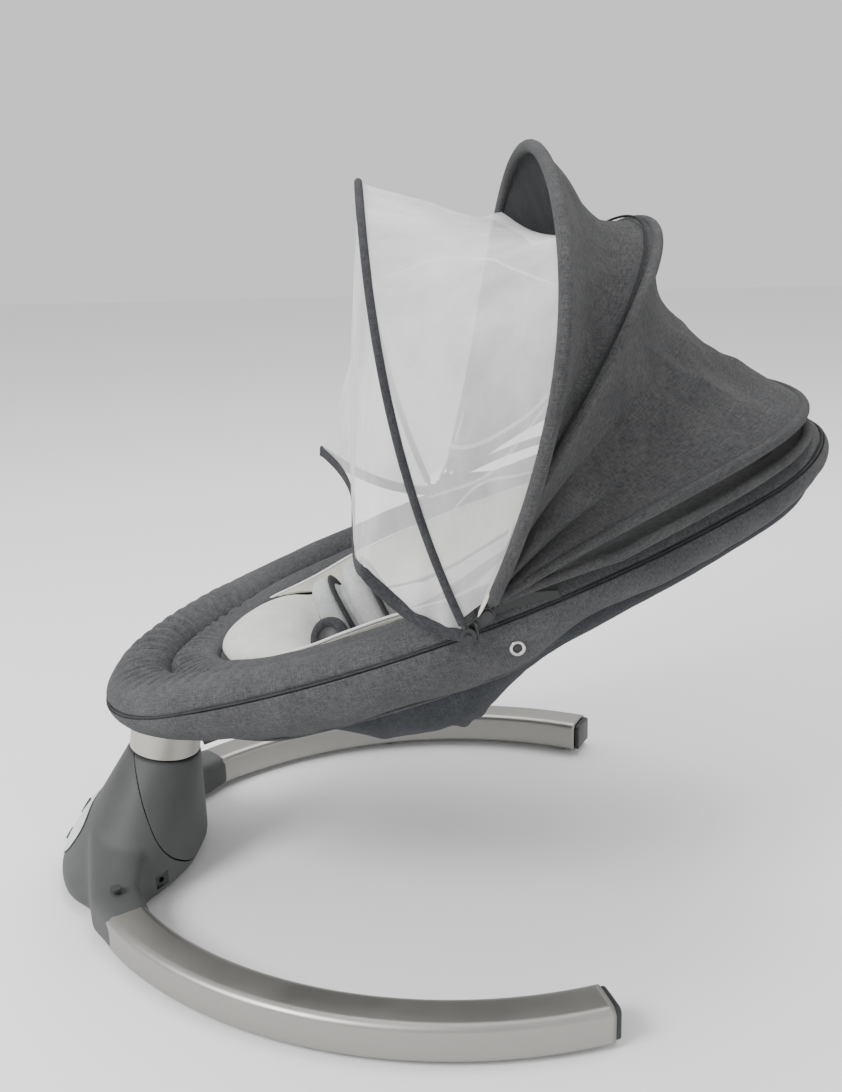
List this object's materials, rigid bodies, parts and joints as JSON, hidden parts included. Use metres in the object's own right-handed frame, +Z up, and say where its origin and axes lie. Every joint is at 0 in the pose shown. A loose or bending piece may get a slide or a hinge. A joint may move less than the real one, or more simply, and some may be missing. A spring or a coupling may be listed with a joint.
{
  "type": "baby swing",
  "caption": "Electric baby swing with a C-shaped aluminium floor base, drive tower, padded reclining seat, folding canopy and insect net.",
  "frame": {"origin": "on the floor under the middle of the object's outline", "axes": "+X towards the head end of the seat, +Z up, +Y to the left of someone who stands at the tower and looks at the seat"},
  "size_m": [0.7103, 0.57, 0.6547],
  "materials": {
    "tower_plastic": "matte",
    "arm_metal": "satin",
    "panel_plastic": "satin",
    "rubber": "matte",
    "steel": "satin",
    "black_plastic": "satin",
    "circuit_board": "satin",
    "brass": "satin",
    "seat_fabric": "matte",
    "insert_fabric": "matte",
    "net_fabric": "matte",
    "hoop_steel": "satin"
  },
  "bodies": {
    "base": {"tower_front_shell": "tower_plastic", "tower_rear_shell": "tower_plastic", "tower_base_plate": "tower_plastic", "base_arm_right": "arm_metal", "base_arm_left": "arm_metal", "arm_cap_right": "rubber", "arm_cap_left": "rubber", "base_feet": "rubber", "socket_screws": "steel", "control_panel": "panel_plastic", "power_inlet": "black_plastic", "control_board": "circuit_board", "speaker": "rubber", "drive_motor": "steel", "motor_bracket": "steel", "lower_bearing": "steel", "upper_bearing": "steel"},
    "power_key": {"power_key": "tower_plastic"},
    "speed_key": {"speed_key": "tower_plastic"},
    "music_key": {"music_key": "tower_plastic"},
    "pinion": {"motor_pinion": "brass"},
    "seat": {"swing_shaft": "steel", "sector_gear": "steel", "swing_collar": "arm_metal", "seat_hub": "steel", "support_fork": "steel", "seat_frame_lower": "steel", "recline_bolts": "steel", "rim_roll_lower": "seat_fabric", "seat_shell_lower": "seat_fabric", "foot_pad": "seat_fabric", "seat_liner": "seat_fabric", "insert_lower": "insert_fabric", "side_bolster_right": "seat_fabric", "side_bolster_left": "seat_fabric", "crotch_pad": "insert_fabric", "buckle": "black_plastic", "strap_hook": "black_plastic"},
    "buckle_button": {"buckle_button": "black_plastic"},
    "backrest": {"seat_frame_upper": "steel", "rim_roll_upper": "seat_fabric", "seat_shell_upper": "seat_fabric", "back_pad": "seat_fabric", "insert_upper": "insert_fabric", "shoulder_pads": "insert_fabric", "canopy_bracket_right": "black_plastic", "canopy_bracket_left": "black_plastic", "canopy_pins": "steel", "hoop_eyes_rear": "black_plastic", "canopy_hoop_rear": "hoop_steel"},
    "canopy_middle": {"hoop_eyes_mid": "black_plastic", "canopy_hoop_mid": "hoop_steel", "canopy_cloth_rear": "seat_fabric"},
    "canopy_front": {"hoop_eyes_front": "black_plastic", "canopy_hoop_front": "hoop_steel", "canopy_cloth_front": "seat_fabric"},
    "net": {"net_eyes": "black_plastic", "net_hoop": "hoop_steel", "net_top": "net_fabric", "net_front": "net_fabric"}
  },
  "joints": [
    {"name": "swing", "type": "hinge", "parent": "base", "child": "seat", "pos_m": [-0.251, 0, 0.135], "axis": [0.165, 0, 0.9863], "range_deg": [-22, 6]},
    {"name": "pinion_spin", "type": "hinge", "parent": "base", "child": "pinion", "pos_m": [-0.30545, 0, 0.06503], "axis": [0.165, 0, 0.9863], "range_deg": [-40, 136]},
    {"name": "power_key_press", "type": "slide", "parent": "base", "child": "power_key", "axis": [-0.8517, 0, 0.524], "range_m": [-0.0012, 0], "stiffness_N_per_m": 300, "springref_m": 0.0004},
    {"name": "speed_key_press", "type": "slide", "parent": "base", "child": "speed_key", "axis": [-0.8517, 0, 0.524], "range_m": [-0.0012, 0], "stiffness_N_per_m": 300, "springref_m": 0.0004},
    {"name": "music_key_press", "type": "slide", "parent": "base", "child": "music_key", "axis": [-0.8517, 0, 0.524], "range_m": [-0.0012, 0], "stiffness_N_per_m": 300, "springref_m": 0.0004},
    {"name": "buckle_press", "type": "slide", "parent": "seat", "child": "buckle_button", "axis": [-0.9371, -0.1223, -0.327], "range_m": [-0.0012, 0], "stiffness_N_per_m": 300, "springref_m": 0.0004},
    {"name": "recline", "type": "hinge", "parent": "seat", "child": "backrest", "pos_m": [0.05787, 0.03937, 0.28365], "axis": [0.1373, -0.9903, -0.023], "range_deg": [0, 18]},
    {"name": "canopy_fold", "type": "hinge", "parent": "backrest", "child": "canopy_middle", "pos_m": [0.03357, 0.03524, 0.31641], "axis": [-0.1373, 0.9903, 0.023], "range_deg": [0, 31], "deforming": ["canopy_cloth_rear"]},
    {"name": "canopy_front_fold", "type": "hinge", "parent": "canopy_middle", "child": "canopy_front", "pos_m": [0.03357, 0.03524, 0.31641], "axis": [-0.1373, 0.9903, 0.023], "range_deg": [0, 16], "deforming": ["canopy_cloth_front"]},
    {"name": "net_fold", "type": "hinge", "parent": "canopy_front", "child": "net", "pos_m": [0.01869, 0.0335, 0.30239], "axis": [-0.1373, 0.9903, 0.023], "range_deg": [0, 18], "deforming": ["net_top", "net_front"]}
  ],
  "couplings": [
    {"joint": "pinion_spin", "follows": "swing", "ratio": -6},
    {"joint": "canopy_front_fold", "follows": "canopy_fold", "ratio": 0.51613}
  ]
}
